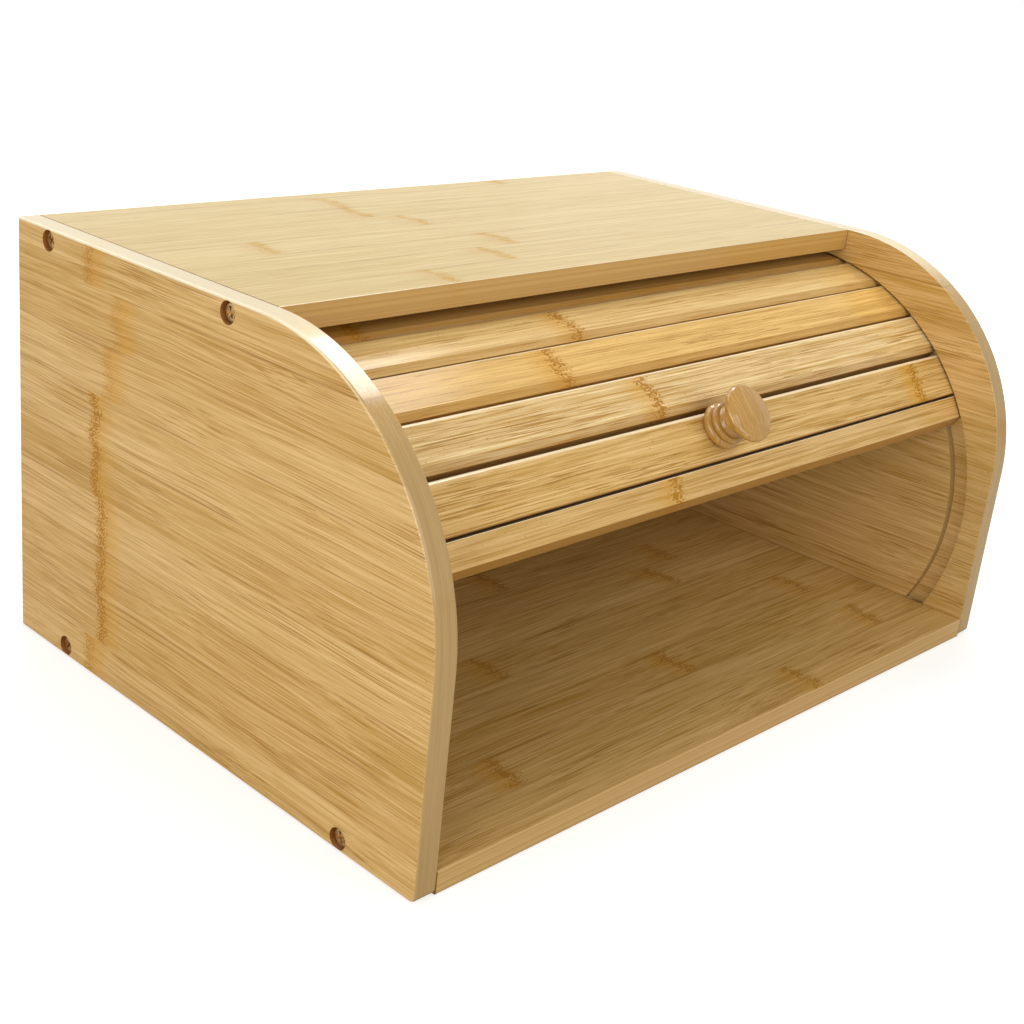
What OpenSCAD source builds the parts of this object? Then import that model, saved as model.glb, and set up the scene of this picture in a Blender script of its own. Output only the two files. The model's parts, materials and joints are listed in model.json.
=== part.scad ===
// Roll-top bread box: a bamboo case whose slatted door (a tambour) slides up
// in curved grooves in the two side panels and rolls back inside the case.
// Frame: X across the width, -Y is the front, +Z is up. The origin is on the
// surface that the box stands on, in the middle of its footprint.

/* [Case] */
// Width over the two side panels
box_w = 400; // [300:1:500]
// Depth from the front edge to the back edge of a side panel
box_d = 277; // [266:1:340]
// Height of a side panel
box_h = 195; // [178:1:215]
// Thickness of a side panel
side_t = 10.5; // [8.5:0.5:15]
// Thickness of the top board
top_t = 10.5; // [8:0.5:13]
// Thickness of the bottom board
bottom_t = 10; // [8:0.5:13]
// Radius of the round front shoulder of a side panel
shoulder_r = 105; // [80:1:130]
// Distance from the front of the case back to the front edge of the top board
top_setback = 107.5; // [100:0.5:116]
// Radius on the outer edges of the side panels
edge_r = 1.2; // [0.6:0.1:1.8]
// Radius on the small edges: inner edges of the sides, edges of the boards
arris_r = 0.5; // [0.3:0.1:0.8]
// Radius at the bottom front corner of a side panel
toe_r = 3; // [2:0.5:6]

/* [Back panel] */
// Thickness of the back panel
back_t = 5; // [3:0.5:6]
// Distance from the back edge of the case to the back panel
back_inset = 6; // [4:0.5:8]
// Depth of the housings that hold the back panel
back_housing = 4; // [3:0.5:5]
// Play of the back panel in its housings, on each side
back_play = 0.15; // [0.1:0.05:0.3]

/* [Track] */
// Height of the centre of the curved track above the base
track_z = 62; // [56:0.5:66]
// Distance from the front of the case back to the frontmost point of a groove
track_front = 11; // [9:0.5:14]
// Height left free between the top board and the top of a groove
track_headroom = 3.5; // [2.5:0.5:6]
// Depth of a groove in a side panel
groove_depth = 5; // [4:0.5:6]
// Slack of a flat slat in the curved groove, across its thickness
groove_play = 2; // [1.6:0.1:2.4]

/* [Tambour door] */
// Thickness of a slat
slat_t = 7.5; // [6:0.5:8.5]
// Gap between two slats, at the canvas
slat_gap = 0.25; // [0.2:0.05:0.5]
// Extra gap above the slat that carries the knob
wide_gap = 0.8; // [0.4:0.1:1.2]
// Height of the bottom rail
rail_w = 10.4; // [8:0.2:13]
// Clearance of the slats' outer corners in the groove
slide_clear = 0.5; // [0.4:0.1:0.8]
// Clearance of a slat's end from the bottom of the groove
end_clear = 0.6; // [0.4:0.1:1]
// Gap left under the bottom rail when the door is shut
shut_gap = 0.3; // [0.2:0.1:0.6]
// How far the shut door reaches in behind the top board's front edge, along the track
door_lap = 32.5; // [20:0.5:36]
// How far the door stands open here, in degrees about the track's centre
door_open = 52.7; // [20:0.1:54]
// How far the door opens beyond that, until the knob is close to the top board
door_more = 35.5; // [30:0.5:35.5]
// Radius on a slat's upper edge
slat_round = 2.2; // [1:0.1:3]
// Height of the bevel on a slat's lower edge
bevel_w = 3.2; // [2:0.1:4.5]
// Depth of that bevel
bevel_t = 2; // [1:0.1:3]
// Thickness of the canvas glued to the backs of the slats
canvas_t = 0.8; // [0.5:0.1:0.9]
// Distance from a side panel to the edge of the canvas
canvas_margin = 1.5; // [1:0.5:6]

/* [Knob] */
// Radius of the knob's foot
knob_foot_r = 10.4; // [8:0.2:11]
// Height of the knob's foot
knob_foot_h = 4.4; // [3.6:0.2:5]
// Radius of the ring above the foot
knob_ring_r = 9.6; // [8:0.2:10]
// Height of that ring
knob_ring_h = 3.2; // [2.6:0.2:3.6]
// Least radius of the knob's neck
knob_neck_r = 6.2; // [5:0.2:6.4]
// Radius of the hollow that runs round the neck
knob_hollow_r = 5; // [4.6:0.1:5.4]
// Radius of the knob's head
knob_head_r = 13; // [12:0.2:13.4]
// Thickness of the head's rim
knob_rim_t = 3.6; // [3:0.2:4]
// Height of the dome on the head
knob_dome_h = 1.6; // [1.2:0.1:2]
// Height of the knob above the slat
knob_h = 20.5; // [20:0.5:23]
// Distance of the knob's axis above the middle of its slat
knob_up = 2.8; // [1:0.1:3]

/* [Screws] */
// Radius of a case screw's head
screw_head_r = 4; // [3.5:0.1:4.1]
// Thickness of a case screw's head
screw_head_t = 2.2; // [1.8:0.1:2.6]
// Radius of a case screw's shank
screw_r = 2; // [1.6:0.1:2.2]
// Length of a case screw under its head
screw_len = 30; // [22:1:40]
// How deep the top of a screw's head lies below the panel's face
screw_sink = 1.7; // [1:0.1:2.5]
// Radial clearance round a screw's head
screw_head_clear = 0.45; // [0.3:0.05:0.6]
// Radial clearance round a screw's shank
screw_clear = 0.1; // [0.05:0.05:0.2]
// Distance of the front top screw behind the top board's front edge
top_screw_front = 17; // [12:1:30]
// Distance of the back top screw from the back edge
top_screw_back = 25.5; // [20:0.5:40]
// Distance of the front bottom screw from the front edge
bottom_screw_front = 43.5; // [25:0.5:70]
// Distance of the back bottom screw from the back edge
bottom_screw_back = 39.5; // [20:0.5:70]
// Radius of the knob screw's shank
knob_screw_r = 1.8; // [1.5:0.1:2]
// Radius of the knob screw's head
knob_screw_head_r = 3.6; // [3:0.1:4.2]
// Thickness of the knob screw's head
knob_screw_head_t = 1.8; // [1.4:0.1:2.2]
// How far the knob screw reaches into the knob
knob_screw_in = 12; // [8:0.5:15]

/* [Hidden] */
$fn = 96;
past = 1; // how far a cutter runs past what it cuts

// Colours
side_colour = "#d3a766";
board_colour = "#e3c288";
inside_colour = "#c99c5e";
slat_colour = "#dcb474";
knob_colour = "#cf9a58";
canvas_colour = "#cfc8bb";
brass_colour = "#8a6a3c";

// Case
front_y = -box_d / 2;
back_y = box_d / 2;
inner_x = box_w / 2 - side_t;
top_front_y = front_y + top_setback;
top_under_z = box_h - top_t;
housing_w = back_t + 2 * back_play;
housing_y = back_y - back_inset - housing_w;
housing_low_z = bottom_t - back_housing;
housing_high_z = top_under_z + back_housing;

// Track: the radii are measured from the centre that the door turns about
groove_r = top_under_z - track_headroom - track_z;
groove_w = slat_t + groove_play;
groove_in_r = groove_r - groove_w;
track_y = front_y + track_front + groove_r;

// Door: angles are in degrees, 0 at the front and rising with the door
slat_count = 10;
corner_r = groove_r - slide_clear;
shut_z = bottom_t + shut_gap;
shut_angle = -asin((track_z - shut_z) / corner_r);
lap_angle = acos((track_y - top_front_y) / corner_r) + door_lap / corner_r * 180 / PI;
face_guess_r = corner_r - slat_t;
rail_angle = 2 * atan((rail_w + slat_gap) / 2 / face_guess_r);
wide_angle = wide_gap / face_guess_r * 180 / PI;
slat_angle = (lap_angle - shut_angle - rail_angle - wide_angle) / slat_count;
face_r = corner_r * cos(slat_angle / 2);
back_r = face_r - slat_t;
slat_w = 2 * back_r * tan(slat_angle / 2) - slat_gap;
slat_len = 2 * (inner_x + groove_depth - end_clear);
rail_middle = shut_angle + door_open + rail_angle / 2;
function slat_middle(i) = shut_angle + door_open + rail_angle + (i - 0.5) * slat_angle
    + (i > 1 ? wide_angle : 0);
groove_low_angle = -asin((track_z - bottom_t) / groove_in_r) - 0.5;
groove_high_angle = slat_middle(slat_count) + slat_angle / 2 + door_more + 3;

// The canvas runs over the backs of the rail and the slats; each has two corners
piece_middles = concat([rail_middle], [for (i = [1:slat_count]) slat_middle(i)]);
piece_halves = concat([rail_w / 2], [for (i = [1:slat_count]) slat_w / 2]);
function on_arc(angle, out, up) =
    [out * cos(angle) - up * sin(angle), out * sin(angle) + up * cos(angle)];
canvas_line = [for (i = [0:slat_count], side = [-1, 1])
    on_arc(piece_middles[i], back_r, side * piece_halves[i])];

// Screws
screw_bore_r = screw_r + screw_clear;
screw_pocket_r = screw_head_r + screw_head_clear;
head_seat = screw_sink + screw_head_t;
top_screw_z = box_h - top_t / 2;
bottom_screw_z = bottom_t / 2;
top_screws = [[top_front_y + top_screw_front, top_screw_z], [back_y - top_screw_back, top_screw_z]];
bottom_screws = [[front_y + bottom_screw_front, bottom_screw_z],
    [back_y - bottom_screw_back, bottom_screw_z]];

// ---- Helpers ----

// What a round takes off a corner at the origin, with the material at the lower left
module round_off(r) {
    difference() {
        translate([-r, -r]) square(r + past);
        translate([-r, -r]) circle(r);
    }
}

// Cutter for an edge along X at the place y, z; turn picks the edge: 0 is back
// and up, 90 front and up, 180 front and down, 270 back and down
module edge_across(y, z, turn, r) {
    translate([-inner_x - past, y, z]) rotate([90, 0, 90]) rotate([0, 0, turn])
        linear_extrude(2 * (inner_x + past)) round_off(r);
}

// Cutter for an upper edge along Y at a board's right end
module edge_along(z, from, r) {
    translate([inner_x, back_y + past, z]) rotate([90, 0, 0])
        linear_extrude(back_y - from + 2 * past) round_off(r);
}

// A bore along X, inwards from x on the right side
module bore_in(x, place, r, depth) {
    translate([x, place[0], place[1]]) rotate([0, -90, 0]) cylinder(r = r, h = depth);
}

// Both sides: the drawing for the right side, and its mirror image
module both_sides() {
    children();
    mirror([1, 0, 0]) children();
}

// Turns a drawing so that its X points out of the track at this angle, its Y
// points up along the door, and its Z runs across the box
module on_track(angle) {
    translate([0, track_y, track_z]) rotate([-angle, 0, 0]) rotate([90, 0, -90]) children();
}

// ---- Case ----

// Outline of a side panel: X runs to the back, Y up, from the bottom front corner
module side_outline() {
    difference() {
        square([box_d, box_h]);
        translate([shoulder_r, box_h - shoulder_r]) rotate([0, 0, 90]) corner_cut(shoulder_r);
        translate([toe_r, toe_r]) rotate([0, 0, 180]) corner_cut(toe_r);
    }
}

// What a large round takes off a corner, drawn from the round's centre
module corner_cut(r) {
    difference() {
        square(r + past);
        circle(r);
    }
}

// Cutters that round the edges of a panel's face at Z = 0, which looks along +Z
module face_edges(r) {
    translate([0, toe_r, 0]) rotate([90, 0, 180])
        linear_extrude(box_h - shoulder_r - toe_r) round_off(r);
    translate([shoulder_r, box_h - shoulder_r, 0]) rotate([0, 0, 90])
        rotate_extrude(angle = 90) translate([shoulder_r, 0]) round_off(r);
    translate([shoulder_r, box_h, 0]) rotate([90, 0, 90])
        linear_extrude(box_d - shoulder_r + past) round_off(r);
    translate([box_d, box_h + past, 0]) rotate([90, 0, 0])
        linear_extrude(box_h + 2 * past) round_off(r);
    translate([box_d + past, 0, 0]) rotate([90, 0, -90])
        linear_extrude(box_d - toe_r + past) round_off(r);
    translate([toe_r, toe_r, 0]) rotate([0, 0, 180])
        rotate_extrude(angle = 90) translate([toe_r, 0]) round_off(r);
}

// The groove that the slats' ends run in, cut into the right panel's inner face
module groove() {
    on_track(0) translate([0, 0, -inner_x - groove_depth]) rotate([0, 0, groove_low_angle])
        rotate_extrude(angle = groove_high_angle - groove_low_angle)
        translate([groove_in_r, 0]) square([groove_w, groove_depth + past]);
}

module right_panel() {
    difference() {
        translate([inner_x, front_y, 0]) rotate([90, 0, 90]) difference() {
            linear_extrude(side_t) side_outline();
            translate([0, 0, side_t]) face_edges(edge_r);
            mirror([0, 0, 1]) face_edges(arris_r);
        }
        groove();
        translate([inner_x - past, housing_y, housing_low_z])
            cube([back_housing + past, housing_w, housing_high_z - housing_low_z]);
        for (place = concat(top_screws, bottom_screws)) {
            bore_in(box_w / 2 + past, place, screw_bore_r, side_t + 2 * past);
            bore_in(box_w / 2 + past, place, screw_pocket_r, head_seat + past);
        }
    }
}

module side_panel(side) {
    color(side_colour) mirror([side == "left" ? 1 : 0, 0, 0]) right_panel();
}

// Bores in both ends of a board
module board_bores(places) {
    depth = screw_len + head_seat - side_t + past;
    both_sides() for (place = places) bore_in(inner_x, place, screw_bore_r, depth);
}

module top_board() {
    color(board_colour) difference() {
        translate([-inner_x, top_front_y, top_under_z])
            cube([2 * inner_x, back_y - top_front_y, top_t]);
        edge_across(top_front_y, box_h, 90, arris_r);
        edge_across(top_front_y, top_under_z, 180, arris_r);
        edge_across(back_y, box_h, 0, arris_r);
        both_sides() edge_along(box_h, top_front_y, arris_r);
        translate([-inner_x - past, housing_y, top_under_z - past])
            cube([2 * (inner_x + past), housing_w, back_housing + past]);
        board_bores(top_screws);
    }
}

module bottom_board() {
    color(board_colour) difference() {
        translate([-inner_x, front_y, 0]) cube([2 * inner_x, box_d, bottom_t]);
        edge_across(front_y, bottom_t, 90, arris_r);
        edge_across(front_y, 0, 180, arris_r);
        edge_across(back_y, 0, 270, arris_r);
        translate([-inner_x - past, housing_y, housing_low_z])
            cube([2 * (inner_x + past), housing_w, back_housing + past]);
        board_bores(bottom_screws);
    }
}

module back_panel() {
    reach = inner_x + back_housing - back_play;
    low = housing_low_z + back_play;
    high = housing_high_z - back_play;
    color(inside_colour) translate([-reach, housing_y + back_play, low])
        cube([2 * reach, back_t, high - low]);
}

// ---- Screws of the case ----

// A pan-head screw: its head's top is at the origin and it points along +Z
module case_screw(turn) {
    bevel = screw_head_t / 4;
    slot_w = screw_head_r / 4;
    slot_l = screw_head_r * 1.2;
    slot_t = screw_head_t * 0.6;
    difference() {
        union() {
            cylinder(r1 = screw_head_r - bevel, r2 = screw_head_r, h = bevel);
            translate([0, 0, bevel]) cylinder(r = screw_head_r, h = screw_head_t - bevel);
            translate([0, 0, screw_head_t / 2])
                cylinder(r = screw_r, h = screw_head_t / 2 + screw_len - 2 * screw_r);
            translate([0, 0, screw_head_t + screw_len - 2 * screw_r])
                cylinder(r1 = screw_r, r2 = screw_r / 5, h = 2 * screw_r);
        }
        for (quarter = [0, 90]) rotate([0, 0, turn + quarter])
            translate([-slot_l / 2, -slot_w / 2, -past]) cube([slot_l, slot_w, slot_t + past]);
    }
}

module case_screws(side, places) {
    color(brass_colour) mirror([side == "left" ? 1 : 0, 0, 0]) for (i = [0:len(places) - 1])
        translate([box_w / 2 - screw_sink, places[i][0], places[i][1]])
            rotate([0, -90, 0]) case_screw(20 + 35 * i);
}

// ---- Tambour door ----

// Cross-section of a slat: X is out of the track, Y is up along the door
module slat_section(low_w, low_t) {
    difference() {
        polygon([
            [back_r, -slat_w / 2], [face_r - low_t, -slat_w / 2],
            [face_r, -slat_w / 2 + low_w], [face_r, slat_w / 2], [back_r, slat_w / 2]
        ]);
        translate([face_r, slat_w / 2]) round_off(slat_round);
    }
}

module slat(i) {
    carries_knob = i == 1;
    color(slat_colour) on_track(slat_middle(i)) difference() {
        translate([0, 0, -slat_len / 2]) linear_extrude(slat_len)
            slat_section(carries_knob ? arris_r : bevel_w, carries_knob ? arris_r : bevel_t);
        if (carries_knob) knob_bore(back_r - past, slat_t + 2 * past);
    }
}

// The rail's lower side lies flat on the bottom board when the door is shut
module bottom_rail() {
    middle = rail_middle - door_open;
    function foot(out) = (shut_z - track_z - out * sin(middle)) / cos(middle);
    color(slat_colour) on_track(rail_middle) translate([0, 0, -slat_len / 2])
        linear_extrude(slat_len) difference() {
            polygon([[back_r, foot(back_r)], [face_r, foot(face_r)],
                [face_r, rail_w / 2], [back_r, rail_w / 2]]);
            translate([face_r, rail_w / 2]) round_off(arris_r);
        }
}

module canvas_backing() {
    length = 2 * (inner_x - canvas_margin);
    inwards = (back_r - canvas_t) / back_r;
    last = len(canvas_line) - 1;
    outline = concat(canvas_line, [for (i = [last:-1:0]) canvas_line[i] * inwards]);
    color(canvas_colour) difference() {
        on_track(0) translate([0, 0, -length / 2]) linear_extrude(length) polygon(outline);
        on_track(slat_middle(1)) knob_bore(back_r - canvas_t - past, canvas_t + 2 * past);
    }
}

// ---- Knob ----

// A bore on the knob's axis, from this radius of the track outwards
module knob_bore(from_r, depth) {
    translate([from_r, knob_up, 0]) rotate([0, 90, 0])
        cylinder(r = knob_screw_r + screw_clear, h = depth);
}

// Half the outline of a disc with a half-round rim
module bead(r, low, h) {
    translate([0, low]) square([r - h / 2, h]);
    translate([r - h / 2, low + h / 2]) circle(h / 2);
}

// Half of the knob's turned outline: a foot, a ring, a hollow neck and a head
module knob_outline() {
    neck_low = knob_foot_h + knob_ring_h;
    rim_low = knob_h - knob_dome_h - knob_rim_t;
    rim_middle = rim_low + knob_rim_t / 2;
    hollow_z = rim_low + 0.4 - knob_hollow_r;
    flare_r = knob_neck_r + knob_hollow_r;
    dome_foot_r = knob_head_r - knob_rim_t / 2;
    dome_r = (dome_foot_r * dome_foot_r + knob_dome_h * knob_dome_h) / (2 * knob_dome_h);
    bead(knob_foot_r, 0, knob_foot_h);
    bead(knob_ring_r, knob_foot_h, knob_ring_h);
    difference() {
        translate([0, neck_low]) square([flare_r, rim_middle - neck_low]);
        translate([flare_r, hollow_z]) circle(knob_hollow_r);
    }
    bead(knob_head_r, rim_low, knob_rim_t);
    intersection() {
        translate([0, knob_h - dome_r]) circle(dome_r);
        translate([0, rim_middle]) square([dome_foot_r, knob_h - rim_middle]);
    }
}

module knob() {
    color(knob_colour) on_track(slat_middle(1)) difference() {
        translate([face_r, knob_up, 0]) rotate([0, 90, 0]) rotate_extrude() knob_outline();
        knob_bore(face_r - past, knob_screw_in + 2 * past);
    }
}

// The screw that holds the knob, from behind the canvas
module knob_screw() {
    head_r = back_r - canvas_t - knob_screw_head_t;
    color(brass_colour) on_track(slat_middle(1)) translate([head_r, knob_up, 0])
        rotate([0, 90, 0]) difference() {
            union() {
                cylinder(r = knob_screw_head_r, h = knob_screw_head_t);
                cylinder(r = knob_screw_r, h = face_r + knob_screw_in - head_r);
            }
            for (quarter = [0, 90]) rotate([0, 0, quarter])
                translate([-knob_screw_head_r * 0.6, -knob_screw_r / 4, -past])
                    cube([knob_screw_head_r * 1.2, knob_screw_r / 2, past + knob_screw_head_t / 2]);
        }
}

// ---- What is drawn ----

function slat_name(i) = str("slat_", i < 10 ? "0" : "", i);

side_panel("left");  // left_side_panel
side_panel("right");  // right_side_panel
top_board();
bottom_board();
back_panel();
case_screws("left", top_screws);  // left_top_screws
case_screws("left", bottom_screws);  // left_bottom_screws
case_screws("right", top_screws);  // right_top_screws
case_screws("right", bottom_screws);  // right_bottom_screws
for (i = [1:slat_count]) slat(i);
bottom_rail();
canvas_backing();
knob();
knob_screw();
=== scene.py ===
# %% [markdown]
# # A bamboo bread box with a roll-top door
#
# The box is built from boards of laminated bamboo: two side panels with a round
# front shoulder, a top board, a bottom board and a back panel. Its door is a
# tambour: thin slats glued side by side on a sheet of canvas. The slats' ends run
# in a curved groove in each side panel, so the door rolls up and under the top
# board when the knob is lifted.
#
# The wooden and metal pieces arrive finished in shape. What this file adds is the
# look of the bamboo, the lacquer over it, the plating of the screws, the woven
# canvas that the slats are glued to, and the studio.

# %% Load the model
import json
import math
import random

import bpy
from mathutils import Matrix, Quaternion, Vector


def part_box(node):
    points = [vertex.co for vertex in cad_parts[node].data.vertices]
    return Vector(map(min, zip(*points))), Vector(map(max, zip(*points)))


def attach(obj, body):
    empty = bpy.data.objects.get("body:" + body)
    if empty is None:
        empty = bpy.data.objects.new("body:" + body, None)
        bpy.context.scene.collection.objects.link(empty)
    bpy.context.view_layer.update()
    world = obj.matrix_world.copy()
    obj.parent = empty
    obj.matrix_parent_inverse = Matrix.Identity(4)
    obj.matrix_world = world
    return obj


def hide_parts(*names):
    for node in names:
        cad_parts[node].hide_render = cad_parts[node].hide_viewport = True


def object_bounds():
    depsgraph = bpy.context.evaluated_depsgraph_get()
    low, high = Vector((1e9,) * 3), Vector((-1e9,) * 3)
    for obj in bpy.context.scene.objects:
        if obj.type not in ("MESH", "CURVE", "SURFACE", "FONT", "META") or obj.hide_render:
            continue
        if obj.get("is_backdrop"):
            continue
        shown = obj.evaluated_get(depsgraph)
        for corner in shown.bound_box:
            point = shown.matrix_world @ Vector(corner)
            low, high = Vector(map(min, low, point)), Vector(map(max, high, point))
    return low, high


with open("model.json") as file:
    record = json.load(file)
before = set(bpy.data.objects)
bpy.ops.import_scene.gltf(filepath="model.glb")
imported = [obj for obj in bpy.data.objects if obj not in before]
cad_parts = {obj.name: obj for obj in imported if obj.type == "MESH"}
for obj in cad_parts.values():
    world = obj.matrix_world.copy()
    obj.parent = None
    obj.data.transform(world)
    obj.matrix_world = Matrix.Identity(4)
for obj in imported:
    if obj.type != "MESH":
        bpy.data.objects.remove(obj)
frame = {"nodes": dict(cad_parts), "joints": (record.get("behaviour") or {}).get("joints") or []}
cad_low, cad_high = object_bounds()
print("pieces:", len(frame["nodes"]), "box:", [round(v, 4) for v in cad_high - cad_low], "m")

# %% [markdown]
# ## The camera
#
# The photograph was taken from the front left, a little above the box, with a lens
# that looks almost straight at it. The camera goes in first, because every later
# choice is judged through it. A slight tilt to one side belongs to the photograph.

# %% Camera
SENSOR_WIDTH = 36.0  # mm, a full-frame sensor
PHOTO_SIZE = 1024  # pixels
FOCAL_PIXELS = 1571.5
CENTRE_PIXEL = (465.0, 490.0)  # where the lens axis meets the photograph

camera_data = bpy.data.cameras.new("camera")
camera_data.sensor_width = SENSOR_WIDTH
camera_data.lens = FOCAL_PIXELS * SENSOR_WIDTH / PHOTO_SIZE
camera_data.shift_x = (PHOTO_SIZE / 2 - CENTRE_PIXEL[0]) / PHOTO_SIZE
camera_data.shift_y = (CENTRE_PIXEL[1] - PHOTO_SIZE / 2) / PHOTO_SIZE
camera = bpy.data.objects.new("camera", camera_data)
camera.location = (-0.54127, -0.47255, 0.34178)  # m
CAMERA_ANGLES = (69.239, -5.147, -44.148)  # degrees: up from straight down, tilt, turn
camera.rotation_euler = [math.radians(angle) for angle in CAMERA_ANGLES]
bpy.context.scene.collection.objects.link(camera)
bpy.context.scene.camera = camera
print("lens:", round(camera_data.lens, 2), "mm")

# %% [markdown]
# ## Two small tools
#
# Colours are picked as sRGB hex values, the way a colour picker shows them, and
# Blender's shaders want linear light, so one function turns one into the other.
# The second function adds a shader node. It sets the node's own settings and
# fills its inputs, each with a number or with a link to another node.

# %% Colour and node helpers
def linear(hex_colour):
    """Turns an sRGB colour such as "#e3c288" into linear RGBA."""
    parts = [int(hex_colour[i : i + 2], 16) / 255 for i in (1, 3, 5)]
    light = [p / 12.92 if p <= 0.04045 else ((p + 0.055) / 1.055) ** 2.4 for p in parts]
    return (*light, 1.0)


def add(tree, kind, inputs=(), **settings):
    """Adds a shader node. Inputs maps a socket to a value, a node or an output."""
    node = tree.nodes.new("ShaderNode" + kind)
    for name, value in settings.items():
        setattr(node, name, value)
    for socket, value in dict(inputs).items():
        if isinstance(value, bpy.types.Node):
            value = value.outputs[0]
        if isinstance(value, bpy.types.NodeSocket):
            tree.links.new(value, node.inputs[socket])
        else:
            node.inputs[socket].default_value = value
    return node


def new_material(name):
    """Makes an empty node material and returns it with its node tree."""
    material = bpy.data.materials.new(name)
    material.use_nodes = True
    material.node_tree.nodes.clear()
    return material, material.node_tree


print("a middle grey, #808080, is", round(linear("#808080")[0], 3), "in linear light")

# %% [markdown]
# ## Where the grain runs
#
# Bamboo is all grain: its fibres run dead straight along the cane. So each piece
# first needs to know, at every point, how far along the grain it is, how far
# across it, and how deep in the wood. In the boards the grain runs across the box,
# along X. The back panel stands upright, so its strips lie one above the other. In
# the side panels the grain runs from front to back, along Y. The door's slats turn
# round the track, so their "across" is an arc length round its centre and their
# "deep" is the distance from it. On the knob's head the grain runs up the door.
#
# The answer is a vector in millimetres, so every pattern size further down is a
# real size. The pattern also runs on into the depth of the wood, as real grain
# does, so it carries on over a rounded edge.

# %% Grain directions
MM = 1000.0
hinge = frame["joints"][0]
track_y, track_z = hinge["pos_m"][1:]
slat_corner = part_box("slat_01")[1]
face_radius = (slat_corner.yz - Vector((track_y, track_z))).length
print("track centre:", (track_y, track_z), "m, radius of the slats' faces:", round(face_radius, 4))


def board_grain(tree):
    """Grain along X with the strips one behind the other, as in the top and bottom boards."""
    place = add(tree, "TexCoord").outputs["Object"]
    return add(tree, "VectorMath", {0: place, 1: (MM, MM, MM)}, operation="MULTIPLY")


def side_grain(tree):
    """Grain along Y, as in the side panels."""
    place = add(tree, "SeparateXYZ", {0: board_grain(tree)})
    parts = {0: place.outputs[1], 1: place.outputs[2], 2: place.outputs[0]}
    return add(tree, "CombineXYZ", parts)


def back_grain(tree):
    """Grain along X with the strips one above the other, as in the back panel."""
    place = add(tree, "SeparateXYZ", {0: board_grain(tree)})
    parts = {0: place.outputs[0], 1: place.outputs[2], 2: place.outputs[1]}
    return add(tree, "CombineXYZ", parts)


def track_place(tree):
    """Place on the door: X across the box, arc length up the door, distance from the centre."""
    centre = (0, -track_y * MM, -track_z * MM)
    place = add(tree, "VectorMath", {0: board_grain(tree), 1: centre}, operation="ADD")
    part = add(tree, "SeparateXYZ", {0: place})
    front = add(tree, "Math", {0: part.outputs[1], 1: -1.0}, operation="MULTIPLY")
    turn = add(tree, "Math", {0: part.outputs[2], 1: front}, operation="ARCTAN2")
    arc = add(tree, "Math", {0: turn, 1: face_radius * MM}, operation="MULTIPLY")
    flat = add(tree, "VectorMath", {0: place, 1: (0, 1, 1)}, operation="MULTIPLY")
    out = add(tree, "VectorMath", {0: flat}, operation="LENGTH").outputs["Value"]
    return part.outputs[0], arc, out


def slat_grain(tree):
    """Grain along a slat."""
    across_box, arc, out = track_place(tree)
    return add(tree, "CombineXYZ", {0: across_box, 1: arc, 2: out})


def knob_grain(tree):
    """Grain up the door, so it crosses the knob's head."""
    across_box, arc, out = track_place(tree)
    return add(tree, "CombineXYZ", {0: arc, 1: across_box, 2: out})


# %% [markdown]
# ## Laminated bamboo
#
# A cane is split into strips about 23 mm wide. They are planed, steamed to a
# blond or caramel tone and glued edge to edge. Four things make the eye say
# bamboo and not pine:
#
# - the fibres: soft pale and tan streaks, hundreds of times longer than wide
# - the vascular bundles: thin, dark, short dashes that lie along the fibres
# - the seams: the dark hairline between two strips
# - the knuckles: where the cane had a joint, a strip is crossed by a narrow,
#   crumpled band of little brown cells, with a faint warm shadow round it
#
# Photographs of planks could give all this, but a pattern made of noise stays
# sharp at any size and needs no files. Each strip gets its own random numbers, so
# tone and streaks change from strip to strip as in a glued board. The fibres also
# sway a few millimetres on their way, or the board would look ruled.

# %% Strips
SEED_STEP = 7.31  # keeps the strips of two pieces from getting the same numbers
JUMP = 900.0  # mm, the most that a strip is shifted in the noise
SWAY_LENGTH, SWAY_WIDTH = 150.0, 35.0  # mm


def strip_numbers(tree, grain, width, first, seed, swing):
    """The strip's number, three random numbers for it, and the grain moved to a fresh spot."""
    across = add(tree, "SeparateXYZ", {0: grain}).outputs[1]
    from_first = add(tree, "Math", {0: across, 1: first}, operation="SUBTRACT")
    count = add(tree, "Math", {0: from_first, 1: width}, operation="DIVIDE")
    number = add(tree, "Math", {0: count}, operation="FLOOR")
    numbered = add(tree, "Math", {0: number, 1: seed * SEED_STEP}, operation="ADD")
    chance = add(tree, "TexWhiteNoise", {"W": numbered}, noise_dimensions="1D").outputs["Color"]
    jump = add(tree, "VectorMath", {0: chance, 1: (JUMP, JUMP, JUMP)}, operation="MULTIPLY")
    moved = add(tree, "VectorMath", {0: grain, 1: jump}, operation="ADD")
    size = (1 / SWAY_LENGTH, 1 / SWAY_WIDTH, 1 / SWAY_WIDTH)
    slow = add(tree, "VectorMath", {0: moved, 1: size}, operation="MULTIPLY")
    sway = add(tree, "TexNoise", {"Vector": slow, "Scale": 1.0, "Detail": 1.0}).outputs["Color"]
    push = add(tree, "VectorMath", {0: sway, 1: (0.0, swing, swing)}, operation="MULTIPLY")
    return count, chance, add(tree, "VectorMath", {0: moved, 1: push}, operation="ADD")


print("fibres sway on a length of", SWAY_LENGTH, "mm")

# %% [markdown]
# Every streak comes from the same noise, stretched along the grain: the place is
# divided by a long length that way and by a short width the other way. Where the
# noise passes a threshold, there is a dash. Real bundles are about 0.3 mm thick,
# which is less than a pixel here, so the dashes and the finest fibres are drawn
# about half as thick again.

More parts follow.
